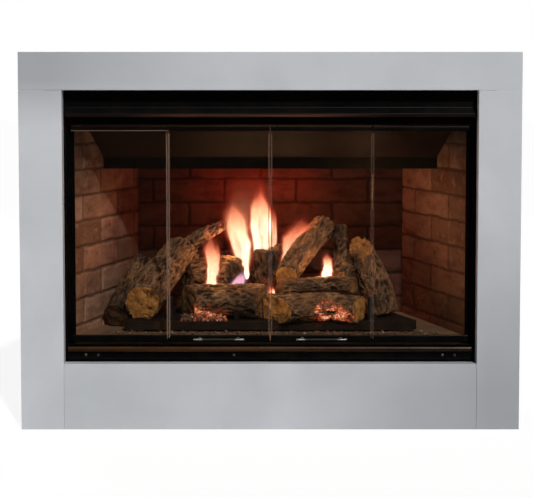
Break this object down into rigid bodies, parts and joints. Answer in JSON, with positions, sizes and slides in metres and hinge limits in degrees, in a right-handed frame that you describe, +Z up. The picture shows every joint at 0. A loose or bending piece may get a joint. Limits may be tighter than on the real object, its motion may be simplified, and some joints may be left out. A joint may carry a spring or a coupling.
{
  "type": "gas fireplace",
  "caption": "Built-in gas fireplace with a slab surround, bi-fold glass doors, brick-lined firebox, log set, burner and drop-down control door.",
  "frame": {"origin": "on the floor, under the middle of the fireplace", "axes": "+X to the viewer's right along the surround, +Y back from the slab face, +Z up"},
  "size_m": [1.28, 0.508, 0.969],
  "materials": {
    "slab": "honed, satin",
    "black_steel": "high-temperature black, satin",
    "galvanised_steel": "galvanised",
    "brick": "moulded refractory, matt",
    "cast_grate": "matt",
    "ember": "rough",
    "log": "moulded bark, matt",
    "bright_steel": "polished",
    "brass": "turned",
    "valve_alloy": "cast",
    "black_plastic": "matt",
    "red_plastic": "gloss",
    "door_rail": "black, satin",
    "smoked_glass": "smoked, polished"
  },
  "bodies": {
    "root": {"header_slab": "slab", "left_leg_slab": "slab", "right_leg_slab": "slab", "bottom_slab": "slab", "face_frame": "black_steel", "casing_wrap": "galvanised_steel", "casing_base": "galvanised_steel", "casing_top": "galvanised_steel", "flue_collar": "galvanised_steel", "nailing_tabs": "galvanised_steel", "firebox_shell": "black_steel", "firebox_supports": "galvanised_steel", "left_brick_panel": "brick", "right_brick_panel": "brick", "back_brick_panel": "brick", "brick_retainers": "black_steel", "hearth_floor": "brick", "smoke_baffle": "black_steel", "hood": "black_steel", "head_track": "black_steel", "door_sill": "black_steel", "door_jambs": "black_steel", "burner_pan": "black_steel", "burner_tube": "galvanised_steel", "pilot_assembly": "bright_steel", "grate": "cast_grate", "ember_bed": "ember", "valve_bracket": "galvanised_steel", "gas_valve": "valve_alloy", "igniter_body": "black_plastic", "gas_inlet": "brass", "gas_lines": "bright_steel", "log_front_centre": "log", "log_front_right": "log", "log_front_left": "log", "log_far_left": "log", "log_rear_right": "log", "log_thin": "log", "log_middle_left": "log", "log_rear_centre": "log", "log_diagonal": "log", "log_small_right": "log"},
    "left_outer_door": {"left_outer_rails": "door_rail", "left_outer_pane": "smoked_glass", "left_door_pins": "bright_steel"},
    "left_inner_door": {"left_inner_rails": "door_rail", "left_inner_pane": "smoked_glass", "left_bar_pull": "bright_steel"},
    "right_outer_door": {"right_outer_rails": "door_rail", "right_outer_pane": "smoked_glass", "right_door_pins": "bright_steel"},
    "right_inner_door": {"right_inner_rails": "door_rail", "right_inner_pane": "smoked_glass", "right_bar_pull": "bright_steel"},
    "access_door": {"access_door": "black_steel", "access_door_screws": "bright_steel"},
    "gas_control_knob": {"gas_control_knob": "black_plastic"},
    "flame_height_knob": {"flame_height_knob": "black_plastic"},
    "igniter_button": {"igniter_button": "red_plastic"},
    "air_shutter": {"air_shutter": "galvanised_steel"}
  },
  "joints": [
    {"name": "left_door_swing", "type": "hinge", "parent": "root", "child": "left_outer_door", "pos_m": [-0.509, -0.201, 0.5], "axis": [0, 0, -1], "range_deg": [0, 80]},
    {"name": "left_door_fold", "type": "hinge", "parent": "left_outer_door", "child": "left_inner_door", "pos_m": [-0.264, -0.201, 0.5], "axis": [0, 0, -1], "range_deg": [-160, 0]},
    {"name": "right_door_swing", "type": "hinge", "parent": "root", "child": "right_outer_door", "pos_m": [0.509, -0.201, 0.5], "axis": [0, 0, 1], "range_deg": [0, 80]},
    {"name": "right_door_fold", "type": "hinge", "parent": "right_outer_door", "child": "right_inner_door", "pos_m": [0.264, -0.201, 0.5], "axis": [0, 0, 1], "range_deg": [-160, 0]},
    {"name": "access_door_drop", "type": "hinge", "parent": "root", "child": "access_door", "pos_m": [0, -0.2145, 0.1785], "axis": [1, 0, 0], "range_deg": [0, 70]},
    {"name": "gas_knob_turn", "type": "hinge", "parent": "root", "child": "gas_control_knob", "pos_m": [0.262, -0.194, 0.19], "axis": [0, -1, 0], "range_deg": [0, 180]},
    {"name": "flame_knob_turn", "type": "hinge", "parent": "root", "child": "flame_height_knob", "pos_m": [0.318, -0.194, 0.19], "axis": [0, -1, 0], "range_deg": [0, 130]},
    {"name": "igniter_press", "type": "slide", "parent": "root", "child": "igniter_button", "axis": [0, 1, 0], "range_m": [0, 0.005], "stiffness_N_per_m": 400, "springref_m": -0.003},
    {"name": "air_shutter_turn", "type": "hinge", "parent": "root", "child": "air_shutter", "pos_m": [0.318, -0.054, 0.247], "axis": [1, 0, 0], "range_deg": [0, 40]}
  ],
  "couplings": [
    {"joint": "left_door_fold", "follows": "left_door_swing", "ratio": -2},
    {"joint": "right_door_fold", "follows": "right_door_swing", "ratio": -2}
  ]
}
